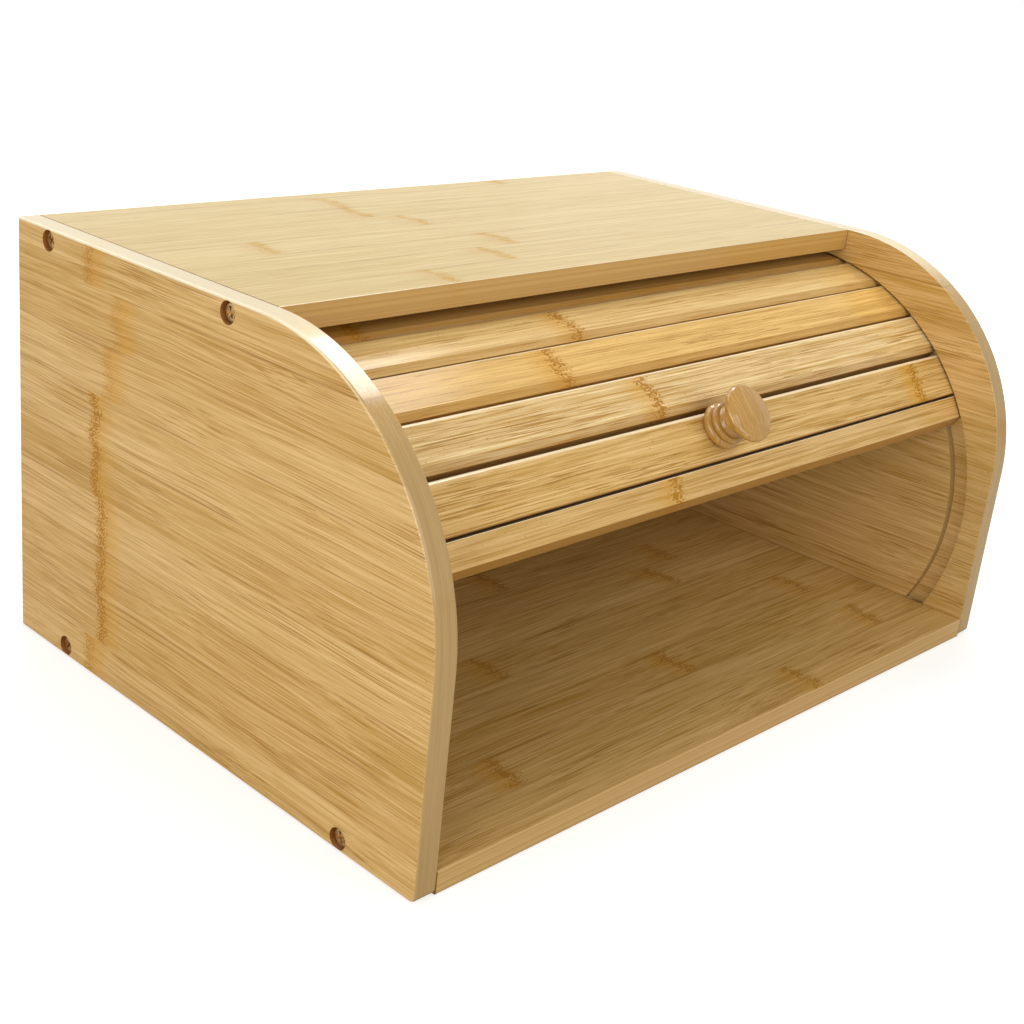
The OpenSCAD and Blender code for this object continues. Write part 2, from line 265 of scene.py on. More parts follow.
# %% Fibres, dashes and seams
DASH_WIDTH = 0.42  # mm
DASH_EDGE = 0.07  # how far the noise rises from the edge of a dash to its middle
CROWD_LENGTH, CROWD_WIDTH = 90.0, 8.0  # mm, the patches where the dashes gather
SEAM_REACH = 0.7  # mm, from the middle of a seam to where it has faded out
SEAM_LENGTH = 45.0  # mm, the length on which a seam comes or goes
SEAM_STEP = 0.13  # so small that two seams come and go on their own
SEAM_GONE, SEAM_FULL = 0.42, 0.62  # of the noise that says where a seam shows

# A MapRange node with this setting gives 0 up to its input 1, 1 from its input 2 on
# and a soft step between them. Input 1 may also be the larger one.
SOFT_STEP = {"interpolation_type": "SMOOTHSTEP"}


def streaks(tree, grain, length, width, detail=2.0, roughness=0.5):
    """Noise stretched along the grain, from 0 to 1."""
    size = (1 / length, 1 / width, 1 / width)
    place = add(tree, "VectorMath", {0: grain, 1: size}, operation="MULTIPLY")
    settings = {"Vector": place, "Scale": 1.0, "Detail": detail, "Roughness": roughness}
    return add(tree, "TexNoise", settings)


def dashes(tree, grain, length, few):
    """Dark vascular bundles, 1 inside a dash. They gather where a slower noise is high."""
    fine = streaks(tree, grain, length, DASH_WIDTH, 1.0)
    crowd = streaks(tree, grain, CROWD_LENGTH, CROWD_WIDTH, 1.0)
    lift = add(tree, "Math", {0: crowd, 1: 0.5, 2: fine}, operation="MULTIPLY_ADD")
    return add(tree, "MapRange", {0: lift, 1: few, 2: few + DASH_EDGE}, **SOFT_STEP)


def seam_lines(tree, grain, count, width):
    """The dark hairline between two strips, 1 on it, which comes and goes along the board."""
    place = add(tree, "Math", {0: count}, operation="FRACT")
    middle = add(tree, "Math", {0: place, 1: 0.5}, operation="SUBTRACT")
    away = add(tree, "Math", {0: middle}, operation="ABSOLUTE")
    line = add(tree, "MapRange", {0: away, 1: 0.5 - SEAM_REACH / width, 2: 0.5}, **SOFT_STEP)
    part = add(tree, "SeparateXYZ", {0: grain}).outputs[0]
    number = add(tree, "Math", {0: count}, operation="ROUND")
    spot = add(tree, "CombineXYZ", {0: part, 1: number})
    noise = streaks(tree, spot, SEAM_LENGTH, SEAM_STEP, 1.0)
    shown = add(tree, "MapRange", {0: noise, 1: SEAM_GONE, 2: SEAM_FULL}, **SOFT_STEP)
    return add(tree, "Math", {0: line, 1: shown}, operation="MULTIPLY")


print("dashes:", DASH_WIDTH, "mm wide, seams:", 2 * SEAM_REACH, "mm wide at most")

# %% [markdown]
# A knuckle sits at its own place on each strip, and its line wanders a little as
# it crosses the strip. The distance to that line, measured along the grain, makes
# two masks: a wide warm shadow that lies more to one side, and a band that holds
# the crumpled cells. The places and strengths follow the photograph where it shows
# them, so they are given as a list, one pair for each strip. A stepped colour ramp
# hands them out by the strip's number, the place as its colour and the strength as
# its alpha.

# %% Knuckles
KNUCKLE_REACH = 250.0  # mm, no knuckle is further than this from the middle of a piece
WANDER = 13.0  # mm, the room in which a knuckle's line wanders
BENDS = 0.11  # how many times per mm across the grain it bends
BAND = 8.5  # mm from the line to where the last cells fade out
SHADOW_REACH, SHADOW_SHIFT = 13.0, 5.0  # mm
CELL_LENGTH, CELL_WIDTH = 1.3, 0.8  # mm
CROWDING = 0.3  # how much more likely a cell is in the middle of the band
MARK_START, MARK_FULL = 0.66, 0.86  # of the noise that makes the cells


def knuckle_places(tree, count, places):
    """The place along the grain and the strength of this strip's knuckle, from a list of pairs."""
    share = add(tree, "Math", {0: count, 1: len(places)}, operation="DIVIDE")
    steps = add(tree, "ValToRGB", {0: share})
    ramp = steps.color_ramp
    ramp.interpolation = "CONSTANT"
    for number, (place, strength) in enumerate(places):
        stop = ramp.elements[0] if number == 0 else ramp.elements.new(number / len(places))
        level = 0.5 + place / (2 * KNUCKLE_REACH)
        stop.color = (level, level, level, strength)
    ramp.elements.remove(ramp.elements[len(places)])
    ends = {"Value": steps.outputs[0], "To Min": -KNUCKLE_REACH, "To Max": KNUCKLE_REACH}
    return add(tree, "MapRange", ends), steps.outputs[1]


def knuckles(tree, grain, place, apart):
    """Masks for a knuckle's shadow and marks, and its relief. Apart is how often it comes again."""
    along = add(tree, "SeparateXYZ", {0: grain}).outputs[0]
    sideways = add(tree, "VectorMath", {0: grain, 1: (0.0, BENDS, BENDS)}, operation="MULTIPLY")
    bends = add(tree, "TexNoise", {"Vector": sideways, "Scale": 1.0, "Detail": 2.0})
    middle = add(tree, "Math", {0: bends, 1: WANDER, 2: place}, operation="MULTIPLY_ADD")
    gone = add(tree, "Math", {0: along, 1: middle}, operation="SUBTRACT")
    centred = add(tree, "Math", {0: gone, 1: WANDER / 2}, operation="ADD")
    near = add(tree, "Math", {0: centred, 1: apart / 2, 2: -apart / 2}, operation="WRAP")
    away = add(tree, "Math", {0: near}, operation="ABSOLUTE")
    to_side = add(tree, "Math", {0: near, 1: SHADOW_SHIFT}, operation="ADD")
    wide = add(tree, "Math", {0: to_side}, operation="ABSOLUTE")
    shadow = add(tree, "MapRange", {0: wide, 1: SHADOW_REACH, 2: 0.0}, **SOFT_STEP)
    band = add(tree, "MapRange", {0: away, 1: BAND, 2: 0.0}, **SOFT_STEP)
    cells = streaks(tree, grain, CELL_LENGTH, CELL_WIDTH, 1.0)
    lift = add(tree, "Math", {0: band, 1: CROWDING, 2: cells}, operation="MULTIPLY_ADD")
    marks = add(tree, "MapRange", {0: lift, 1: MARK_START, 2: MARK_FULL}, **SOFT_STEP)
    crumple = add(tree, "Math", {0: cells, 1: band}, operation="MULTIPLY")
    return shadow, marks, crumple


print("the band of a knuckle is", 2 * BAND, "mm long, its shadow", 2 * SHADOW_REACH, "mm")

# %% [markdown]
# ## The colour of the wood
#
# The tone of a board is a sum: broad bands, fibres, the finest threads, and one
# number for the whole strip. The dashes, the knuckles and the seams go over it
# like thin glazes, each with its own brown. All of these are golden browns and not
# grey ones: bamboo stays warm even where it is dark.

# %% Wood colour
BANDS = (200.0, 5.0)  # mm, length and width
FIBRES = (170.0, 1.3)
THREADS = (26.0, 0.5)
DASH_BROWN = "#9c6a08"
SHADOW_AMBER = "#cf9208"
KNUCKLE_BROWN = "#a46a00"
SEAM_BROWN = "#8c5a0a"


def glaze(tree, colour, mask, amount, tint):
    """Lays a tint over a colour where the mask is 1, as strong as the amount says."""
    share = add(tree, "Math", {0: mask, 1: amount}, operation="MULTIPLY")
    inputs = {"Factor": share, 6: colour, 7: linear(tint)}
    return add(tree, "Mix", inputs, data_type="RGBA").outputs[2]


def fibre_tone(tree, own, chance, look):
    """How deep the tone of the wood is, from 0 to 1, and its finest threads by themselves."""
    bands = streaks(tree, own, *BANDS, 2.0)
    fibres = streaks(tree, own, *FIBRES, 2.0, 0.6)
    threads = streaks(tree, own, *THREADS, 1.0)
    strip = add(tree, "SeparateXYZ", {0: chance}).outputs[1]
    strength = look["streaks"]
    weights = (
        (bands, 0.75 * strength),
        (fibres, 1.7 * strength),
        (threads, 1.5 * strength),
        (strip, look["tone"]),
    )
    depth = 0.5 - sum(weight for _, weight in weights) / 2
    for layer, weight in weights:
        depth = add(tree, "Math", {0: layer, 1: weight, 2: depth}, operation="MULTIPLY_ADD")
    depth.use_clamp = True
    return depth, threads


print("fibres are", round(FIBRES[0] / FIBRES[1]), "times longer than wide")

# %% [markdown]
# Some places of a piece look different from its faces. The surface's own direction
# or the place in the piece tells where they are:
#
# - where the fibres end, on the front edges of the side panels, the wood is greyer
#   and its layers show as lines along the edge
# - where a board meets the side panels, a dark line shows: glue, and painted shade in the crack of
#   the joint
# - the walls of the drilled screw wells are painted browner, as painted shade in the recess
# - the rounded edges are painted paler, as painted highlights, and the undersides of the slats
#   darker, as painted shade

# %% Edges, joints and wells
LAYER_LENGTH, LAYER = 60.0, 0.9  # mm, the lines on an edge
ACROSS, ALONG = 0.25, 0.8  # how much a surface looks to the front or the back
JOINT_EDGE, JOINT_FULL = 0.7, 0.2  # mm from the end of a board
# The dark line where a board meets a side panel: glue, and painted shade in the crack of the joint.
JOINT_SHADE_AND_GLUE = "#8e642c"
WELL_RADIUS, WELL_RIM = 4.5, 0.3  # mm
# Painted shade in the screw wells: their walls are laid darker.
WELL_SHADE, WELL_SHADE_STRENGTH = "#8c4e0a", 0.85
FAR = 1000.0  # mm, further than any place on the box


def turned_to(tree, direction):
    """How much the surface faces a direction of the piece, from -1 to 1."""
    normal = add(tree, "TexCoord").outputs["Normal"]
    facing = add(tree, "VectorMath", {0: normal, 1: direction}, operation="DOT_PRODUCT")
    return facing.outputs["Value"]


def end_grain(tree, grain, colour, pair):
    """Layered edge wood in two colours, on the surfaces that look to the front or the back."""
    straight = add(tree, "Math", {0: turned_to(tree, (0, 1, 0))}, operation="ABSOLUTE")
    ended = add(tree, "MapRange", {0: straight, 1: ACROSS, 2: ALONG}, **SOFT_STEP)
    size = (0.0, 1 / LAYER_LENGTH, 1 / LAYER)
    turned = add(tree, "VectorMath", {0: grain, 1: size}, operation="MULTIPLY")
    layers = add(tree, "TexNoise", {"Vector": turned, "Scale": 1.0, "Detail": 2.0})
    lines = add(tree, "MapRange", {0: layers, 1: 0.3, 2: 0.7}, **SOFT_STEP)
    layered = glaze(tree, linear(pair[0]), lines, 1.0, pair[1])
    return add(tree, "Mix", {"Factor": ended, 6: colour, 7: layered}, data_type="RGBA").outputs[2]


def joint_shade_and_glue(tree, grain, colour, reach):
    """A dark line at both ends of a board that reaches so far from the middle: glue, and painted
    shade in the crack where it meets a side panel.
    """
    along = add(tree, "SeparateXYZ", {0: grain}).outputs[0]
    from_middle = add(tree, "Math", {0: along}, operation="ABSOLUTE")
    line = {0: from_middle, 1: reach - JOINT_EDGE, 2: reach - JOINT_FULL}
    joint = add(tree, "MapRange", line, **SOFT_STEP)
    return glaze(tree, colour, joint, 1.0, JOINT_SHADE_AND_GLUE)


def shaded_wells(tree, grain, colour, wells):
    """Painted shade on the walls of the screw wells, given by their axes along and across the
    grain.
    """
    flat = add(tree, "VectorMath", {0: grain, 1: (1, 1, 0)}, operation="MULTIPLY")
    nearest = FAR
    for along, across in wells:
        away = add(tree, "VectorMath", {0: flat, 1: (along, across, 0)}, operation="DISTANCE")
        nearest = add(tree, "Math", {0: nearest, 1: away.outputs["Value"]}, operation="MINIMUM")
    wall = {0: nearest, 1: WELL_RADIUS + WELL_RIM, 2: WELL_RADIUS}
    inside = add(tree, "MapRange", wall, **SOFT_STEP)
    return glaze(tree, colour, inside, WELL_SHADE_STRENGTH, WELL_SHADE)


print("screw wells:", 2 * WELL_RADIUS, "mm across")

# %% [markdown]
# What changes from piece to piece is gathered in one list with its usual values, and
# a piece then names only what is different about it.

# %% Settings of the bamboo
USUAL = {
    "streaks": 1.0,  # strength of the fibres
    "tone": 0.25,  # how much the strips differ
    "swing": 6.0,  # mm, the room in which the fibres sway
    "few": 0.86,  # how rare the dashes are
    "dash": 0.6,  # how strong they are
    "stroke": 70.0,  # mm, how long they are
    "apart": 270.0,  # mm from one knuckle of a strip to the next
    "mark": 0.85,  # how strong the knuckles are
    "end": None,  # the two colours of the edges at front and back
    "joint": None,  # mm from the middle of a board to its glued ends
    "tints": (),  # painted highlights and painted shade on edges: direction, start, full, amount, colour
    "wells": (),  # the axes of the screw wells
    "gloss": 0.16,  # roughness of the lacquer
    "film": 0.6,  # how full the lacquer's film is
    "face": None,  # the direction in which the film is full anyway
}
print("settings:", ", ".join(USUAL))

# %% [markdown]
# ## The lacquer
#
# The box is sanded and sprayed with a clear satin lacquer. The wood below has
# little shine of its own. The film over it has an index of refraction of about
# 1.5. It gives the white glare on the round edges, and it makes the top board
# paler than the rest, because seen at a low angle a film mirrors more of the
# room. So the wood colour goes into a Principled shader, and the film is its coat.
# The film is thinnest where it sank into the crumpled cells of a knuckle, so those
# keep their deep colour.

# %% Lacquered bamboo
AMBER_SHARE = 0.5  # how strong a knuckle's shadow is, as a share of its marks
SEAM_STRENGTH = 0.55
FILM_START, FILM_FULL = 0.1, 0.6  # how much a surface looks the way of the full film
SUNK = 0.8  # how much film is missing on a knuckle's cells
DASH_PIT, CELL_PIT = 0.4, 3.0  # how deep dashes and cells are, next to the threads
RELIEF = 0.0002  # m


def bamboo(name, grain_of, seed, pale, deep, width, first, places, **look):
    """Lacquered bamboo. The first strip starts at `first`, and each has a knuckle from `places`."""
    look = {**USUAL, **look}
    material, tree = new_material(name)
    grain = grain_of(tree)
    count, chance, own = strip_numbers(tree, grain, width, first, seed, look["swing"])
    depth, threads = fibre_tone(tree, own, chance, look)
    colour = glaze(tree, linear(pale), depth, 1.0, deep)
    dash = dashes(tree, own, look["stroke"], look["few"])
    colour = glaze(tree, colour, dash, look["dash"], DASH_BROWN)
    place, strength = knuckle_places(tree, count, places)
    shadow, cells, crumple = knuckles(tree, grain, place, look["apart"])
    marks = add(tree, "Math", {0: cells, 1: strength}, operation="MULTIPLY")
    colour = glaze(tree, colour, shadow, AMBER_SHARE * look["mark"], SHADOW_AMBER)
    colour = glaze(tree, colour, marks, look["mark"], KNUCKLE_BROWN)
    seams = seam_lines(tree, grain, count, width)
    colour = glaze(tree, colour, seams, SEAM_STRENGTH, SEAM_BROWN)
    if look["end"]:
        colour = end_grain(tree, grain, colour, look["end"])
    # A dark line at the board's ends: glue, and painted shade in the joint.
    if look["joint"]:
        colour = joint_shade_and_glue(tree, grain, colour, look["joint"])
    # Painted highlights and painted shade, laid on by the way the surface faces.
    for direction, start, full, amount, tint in look["tints"]:
        facing = turned_to(tree, direction)
        edge = add(tree, "MapRange", {0: facing, 1: start, 2: full}, **SOFT_STEP)
        colour = glaze(tree, colour, edge, amount, tint)
    # Painted shade on the walls of the screw wells.
    if look["wells"]:
        colour = shaded_wells(tree, grain, colour, look["wells"])
    film = look["film"]
    if look["face"]:
        facing = turned_to(tree, look["face"])
        film = add(tree, "MapRange", {0: facing, 1: FILM_START, 2: FILM_FULL, 3: film, 4: 1.0})
    sunk = add(tree, "Math", {0: marks, 1: -SUNK, 2: 1.0}, operation="MULTIPLY_ADD")
    film = add(tree, "Math", {0: film, 1: sunk}, operation="MULTIPLY")
    pits = add(tree, "Math", {0: dash, 1: -DASH_PIT, 2: threads}, operation="MULTIPLY_ADD")
    relief = add(tree, "Math", {0: crumple, 1: -CELL_PIT, 2: pits}, operation="MULTIPLY_ADD")
    bump = add(tree, "Bump", {"Height": relief, "Strength": 0.3, "Distance": RELIEF})
    finish = {
        "Base Color": colour,
        "Roughness": 0.6,
        "Specular IOR Level": 0.1,
        "Normal": bump,
        "Coat Weight": film,
        "Coat Roughness": look["gloss"],
        "Coat IOR": 1.5,
    }
    shader = add(tree, "BsdfPrincipled", finish)
    add(tree, "OutputMaterial", {"Surface": shader})
    print(name, "has", len(tree.nodes), "nodes")
    return material


# %% [markdown]
# All boards are cut from the same blond bamboo. Where their knuckles show in the
# photograph, they are put in the same places. A strip is about 23 mm wide, and
# `first` shifts the strips so that the seams fall where the photograph has them.

# %% Strips and knuckles of the boards
PALE, DEEP = "#e5bf81", "#bc8f40"
STRIP = 22.8  # mm, the width of a strip
BOARD_REACH = 189.5  # mm from the middle of the box to the glued ends of its boards
SIDE_KNUCKLES = (  # from the base up: mm behind the middle of the box, and strength
    (80.0, 0.6), (69.0, 1.0), (71.0, 1.0), (70.0, 1.0), (75.0, 1.0),
    (76.0, 1.0), (66.0, 0.35), (60.0, 0.3), (82.0, 0.6),
)
TOP_KNUCKLES = (-97.0, -42.0, -18.0, -135.0, -30.0, -46.0, -42.0, 90.0)  # from the front back
BOTTOM_KNUCKLES = (
    60.0, -120.0, 20.0, 150.0, -60.0, 95.0, -150.0, 10.0, 120.0, -90.0, 40.0, -20.0, 0.0,
)
BACK_KNUCKLES = BOTTOM_KNUCKLES[2:]
print("strips:", len(SIDE_KNUCKLES), "on a side panel,", len(TOP_KNUCKLES), "on the top board")

# %% [markdown]
# The upper edges of the side panels, both edges of the round shoulder and the top
# board's front edge are painted paler: painted highlights, where the lacquer on the
# round edges catches the lamps. The top board is the palest and the plainest, and
# it has the fullest lacquer.

# %% Case finishes
# Painted highlights: paler colours laid on the round edges and the upper faces, where the lacquer
# catches the light.
PAINTED_EDGE_HIGHLIGHT = "#f8e8c4"
PAINTED_TOP_HIGHLIGHT = "#f6e7c0"
FORWARD_UP = (0, -0.8, 0.8)  # the way that the front edges of the side panels face


def dress(node, material):
    """Gives a piece one material all over."""
    slots = frame["nodes"][node].data.materials
    slots.clear()
    slots.append(material)


def strong(places):
    """Knuckles in these places, all at full strength."""
    return [(place, 1.0) for place in places]


def screw_wells(side):
    """The axes of a side panel's four screws, along and across its grain."""
    axes = []
    for row in ("top", "bottom"):
        lowest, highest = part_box(f"{side}_{row}_screws")
        middle = (lowest.z + highest.z) / 2
        head = (highest.z - lowest.z) / 2
        axes += [((lowest.y + head) * MM, middle * MM), ((highest.y - head) * MM, middle * MM)]
    return axes


def side_bamboo(side, seed, places):
    """A side panel's bamboo, with painted highlights: paler on the upper edge and on both edges of
    the round shoulder.
    """
    # Painted highlights on the upper face and on both edges of the round shoulder.
    upper = ((0, 0, 1), 0.8, 0.97, 0.75, PAINTED_TOP_HIGHLIGHT)
    to_left = ((-0.7, 0, 0.7), 0.85, 0.97, 0.8, PAINTED_EDGE_HIGHLIGHT)
    to_right = ((0.7, 0, 0.7), 0.85, 0.97, 0.8, PAINTED_EDGE_HIGHLIGHT)
    return bamboo(f"{side}_side_bamboo", side_grain, seed, PALE, DEEP, STRIP, -4.6, places,
                  end=("#b9975f", "#ae8c54"), face=FORWARD_UP, streaks=0.85,
                  wells=screw_wells(side), tints=[upper, to_left, to_right])


dress("left_side_panel", side_bamboo("left", 3, SIDE_KNUCKLES))
dress("right_side_panel", side_bamboo("right", 4, SIDE_KNUCKLES[::-1]))
# The top board's front upper edge gets a painted highlight.
dress("top_board", bamboo(
    "top_bamboo", board_grain, 5, "#e4c986", "#caa954", STRIP, -31.3, strong(TOP_KNUCKLES),
    apart=420.0, few=0.95, dash=0.4, film=0.85, mark=0.4, joint=BOARD_REACH,
    end=("#caa05a", "#b48743"), tints=[((0, -0.7, 0.7), 0.9, 0.98, 0.8, PAINTED_EDGE_HIGHLIGHT)]))
dress("bottom_board", bamboo(
    "bottom_bamboo", board_grain, 6, "#e9c381", "#c29645", STRIP, -138.5, strong(BOTTOM_KNUCKLES),
    mark=0.6, joint=BOARD_REACH, end=("#d3ae70", "#bf9656")))
dress("back_panel", bamboo(
    "back_bamboo", back_grain, 7, PALE, DEEP, STRIP, 0.0, strong(BACK_KNUCKLES)))

# %% [markdown]
# ## The door
#
# Each slat is cut from one strip, so it has one tone, and its knuckle crosses it
# from edge to edge. Slats are cut on edge, so their bundles show as strong, short
# dark dashes, most of all on the lower slats. The slats' upper edges catch the
# light, and a paler colour is laid on them as a painted highlight. Their lower
# edges get painted shade in orange brown, and the sides that face each other in
# the gaps a darker painted shade. The knob is turned from darker wood, and it has
# the fullest and smoothest lacquer.

# %% Door finishes
SLAT_COUNT = 10
SLAT_KNUCKLES = {1: 162.0, 2: -30.0, 3: -71.0, 4: -43.0}  # mm from the middle of the box
# Each slat's own tone, but slat 5, just under the top board, is painted darker as painted shade
# from the board above it, and slat 2 is painted paler, partly its own tone and partly painted
# light.
SLAT_TONE_AND_PAINTED_LIGHT = {1: "#e8c382", 2: "#f5d9a2", 3: "#eabf70", 4: "#e8c684", 5: "#c6a068"}
SLAT_FEW = {1: 0.85, 2: 0.87, 3: 0.91, 4: 0.94}  # the lower slats have the most dashes
ONE_STRIP = 2000.0  # mm, wider than any piece of the door, so each is a single strip
ONCE = 700.0  # mm, longer than the box is wide, so each has one knuckle at most
# Painted shade: orange brown on the slats' lower edges, darker brown on their sides in the gaps.
PAINTED_UNDERSIDE_SHADE = "#a8742c"
PAINTED_GAP_SHADE = "#80521e"
draw = random.Random(12)


def down_the_door(node):
    """The way down along the door from a strip of it."""
    lowest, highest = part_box(node)
    middle = (lowest + highest) / 2 - Vector((0, track_y, track_z))
    middle.x = 0
    facing = middle.normalized()
    return Vector((0, -facing.z, facing.y))


def strip_edges(down):
    """The film's direction and the painted light on the edges of a strip of the door, for the
    bamboo's settings: a painted highlight above, painted shade below and in the gaps.
    """
    # Painted shade on the lower edge, a painted highlight on the upper edge, and darker painted
    # shade on the sides in the gaps.
    underside_shade = (down, 0.3, 0.75, 0.8, PAINTED_UNDERSIDE_SHADE)
    edge_highlight = (-down, 0.15, 0.5, 0.75, PAINTED_EDGE_HIGHLIGHT)
    gap_shade_below = (down, 0.9, 0.99, 0.45, PAINTED_GAP_SHADE)
    gap_shade_above = (-down, 0.9, 0.99, 0.4, PAINTED_GAP_SHADE)
    return {"face": -down, "tints": [underside_shade, edge_highlight, gap_shade_below, gap_shade_above]}


for number in range(1, SLAT_COUNT + 1):
    slat = f"slat_{number:02d}"
    places = strong([SLAT_KNUCKLES.get(number, draw.uniform(-150, 150))])
    dress(slat, bamboo(
        f"slat_bamboo_{number:02d}", slat_grain, 20 + number, SLAT_TONE_AND_PAINTED_LIGHT.get(number, PALE), DEEP,
        ONE_STRIP, -ONE_STRIP / 2, places, few=SLAT_FEW.get(number, 0.88), dash=0.7,
        stroke=24.0, swing=1.5, apart=ONCE, film=0.45, **strip_edges(down_the_door(slat))))
dress("bottom_rail", bamboo(
    "rail_bamboo", slat_grain, 41, PALE, DEEP, ONE_STRIP, -ONE_STRIP / 2, strong([-40.0]),
    swing=1.5, apart=ONCE, **strip_edges(down_the_door("bottom_rail"))))
dress("knob", bamboo(
    "knob_bamboo", knob_grain, 51, "#cb9c52", "#9c6f24", ONE_STRIP, -ONE_STRIP / 2,
    strong([240.0]), few=0.95, dash=0.3, gloss=0.04, film=1.0, apart=ONCE, streaks=0.7))

# %% [markdown]
# ## The canvas
#
# The slats are glued to a sheet of unbleached cotton canvas, which is what bends
# when the door rolls. It shows as a grey line in the widest gap and from inside.
# The CAD model holds a plain solid in its place. Here it becomes cloth: a grid
# of points that follows the backs of the slats, with a second layer half a
# millimetre inside it. The corners at one end of the CAD solid say where the backs
# are: of two corners at the same angle round the track, the outer one counts.

# %% The line of the slats' backs
GRID = 0.004  # m, the size of the cloth's grid
TOUCHING = 1e-5  # m, closer than this is the same place
SAME_ANGLE = 1e-4  # radians

backing = frame["nodes"]["canvas_backing"]
centre = Vector((track_y, track_z))
low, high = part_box("canvas_backing")
end_points = [v.co.yz - centre for v in backing.data.vertices if v.co.x < low.x + TOUCHING]
end_points.sort(key=lambda p: math.atan2(p.y, -p.x))
outer = []
for point in end_points:
    angle = math.atan2(point.y, -point.x)
    if outer and abs(angle - outer[-1][0]) < SAME_ANGLE:
        outer[-1] = max(outer[-1], (angle, point.length), key=lambda corner: corner[1])
    else:
        outer.append((angle, point.length))
corners = [Vector((-far * math.cos(angle), far * math.sin(angle))) for angle, far in outer]
line = [corners[0]]
for before, after in zip(corners, corners[1:]):
    steps = max(1, round((after - before).length / GRID))
    line += [before.lerp(after, (i + 1) / steps) for i in range(steps)]
cloth_width = high.x - low.x

# %% [markdown]
# The line is repeated across the box, column by column, once for each layer. Four
# neighbouring points make a face, and a last row of faces closes the sheet's edges.

# %% Canvas sheet
CLOTH_THICKNESS = 0.0005  # m
columns = round(cloth_width / GRID)
points, faces = [], []
for layer in range(2):
    for place in line:
        spot = centre + place * (1 - layer * CLOTH_THICKNESS / place.length)
        points += [(low.x + cloth_width * i / columns, *spot) for i in range(columns + 1)]
row = columns + 1
layer_points = len(line) * row


def layer_face(first, r, c, flip):
    """One face of a layer of the grid, looking out of the track or, flipped, into it."""
    a = first + r * row + c
    face = (a, a + 1, a + 1 + row, a + row)
    return face[::-1] if flip else face


def edge_face(a, b, flip):
    """One face of the sheet's edge, from the outer layer to the inner one."""
    face = (a, b, b + layer_points, a + layer_points)
    return face[::-1] if flip else face


for r in range(len(line) - 1):
    for c in range(columns):
        faces += [layer_face(0, r, c, False), layer_face(layer_points, r, c, True)]
    for c, flip in ((0, False), (columns, True)):
        faces.append(edge_face(r * row + c, (r + 1) * row + c, flip))
for r, flip in ((0, True), (len(line) - 1, False)):
    for c in range(columns):
        faces.append(edge_face(r * row + c, r * row + c + 1, flip))
cloth_mesh = bpy.data.meshes.new("canvas_cloth")
cloth_mesh.from_pydata(points, [], faces)
cloth_mesh.validate()
cloth = bpy.data.objects.new("canvas_cloth", cloth_mesh)
bpy.context.scene.collection.objects.link(cloth)
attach(cloth, "tambour")
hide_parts("canvas_backing")
print("canvas mesh:", len(points), "points,", len(faces), "faces")

# %% [markdown]
# Canvas is a plain weave: threads that pass over and under each other. Two waves at
# right angles, multiplied, make the over and under, as relief and as a faint
# change of colour. The threads of such canvas are about 0.5 mm apart, too fine to
# show here, so they are drawn 0.8 mm apart. Cotton is matt, with a faint fuzz that
# the sheen gives.

# %% Canvas finish
THREAD = 0.8  # mm between two threads
SLUB_LENGTH, SLUB_WIDTH = 12.0, 0.8  # mm, the thicker stretches of a thread


def cotton_canvas():
    """Unbleached plain-weave cotton."""
    material, tree = new_material("cotton_canvas")
    parts = add(tree, "SeparateXYZ", {0: slat_grain(tree)})
    waves = []
    for number in range(2):
        wave = {0: parts.outputs[number], 1: math.pi / THREAD}
        turn = add(tree, "Math", wave, operation="MULTIPLY")
        waves.append(add(tree, "Math", {0: turn}, operation="SINE"))
    over = add(tree, "Math", {0: waves[0], 1: waves[1]}, operation="MULTIPLY")
    height = add(tree, "Math", {0: over, 1: 0.5, 2: 0.5}, operation="MULTIPLY_ADD")
    slub = streaks(tree, slat_grain(tree), SLUB_LENGTH, SLUB_WIDTH, 2.0)
    worn = add(tree, "Math", {0: slub, 1: 0.6, 2: height}, operation="MULTIPLY_ADD")
    tone = add(tree, "MapRange", {0: worn, 1: 0.1, 2: 1.3}, **SOFT_STEP)
    colour = glaze(tree, linear("#8c7850"), tone, 1.0, "#ccb98f")
    bump = add(tree, "Bump", {"Height": height, "Strength": 0.6, "Distance": RELIEF})
    finish = {"Base Color": colour, "Roughness": 0.9, "Normal": bump, "Sheen Weight": 0.15}
    shader = add(tree, "BsdfPrincipled", finish)
    add(tree, "OutputMaterial", {"Surface": shader})
    return material


cloth_mesh.materials.append(cotton_canvas())
print("canvas threads drawn", THREAD, "mm apart")

# %% [markdown]
# ## Plated screws
#
# The pan heads are steel with an antique brass plating: bright brass that was
# darkened and rubbed off again on the high spots. A metal's colour is the tint of
# its reflection, so the brown patina is a darker, rougher patch of the same metal.

# %% Antique brass
PATINA_CLOUD = 1.1  # mm
PATINA_START, PATINA_FULL = 0.42, 0.62  # of the noise that makes the clouds
BRIGHT_ROUGHNESS, PATINA_ROUGHNESS = 0.28, 0.5


def antique_brass():
    """Plated metal with a cloudy brown patina."""
    material, tree = new_material("antique_brass")
    cloud = streaks(tree, board_grain(tree), PATINA_CLOUD, PATINA_CLOUD, 3.0)
    patina = add(tree, "MapRange", {0: cloud, 1: PATINA_START, 2: PATINA_FULL}, **SOFT_STEP)
    colour = glaze(tree, linear("#f4d8a2"), patina, 1.0, "#b0844a")
    rough = add(tree, "MapRange", {0: patina, 3: BRIGHT_ROUGHNESS, 4: PATINA_ROUGHNESS})
    finish = {"Base Color": colour, "Metallic": 1.0, "Roughness": rough}
    shader = add(tree, "BsdfPrincipled", finish)
    add(tree, "OutputMaterial", {"Surface": shader})
    return material


brass = antique_brass()
screws = [name for name in frame["nodes"] if name.endswith(("_screws", "_screw"))]
for name in screws:
    dress(name, brass)
print("brass on:", screws)

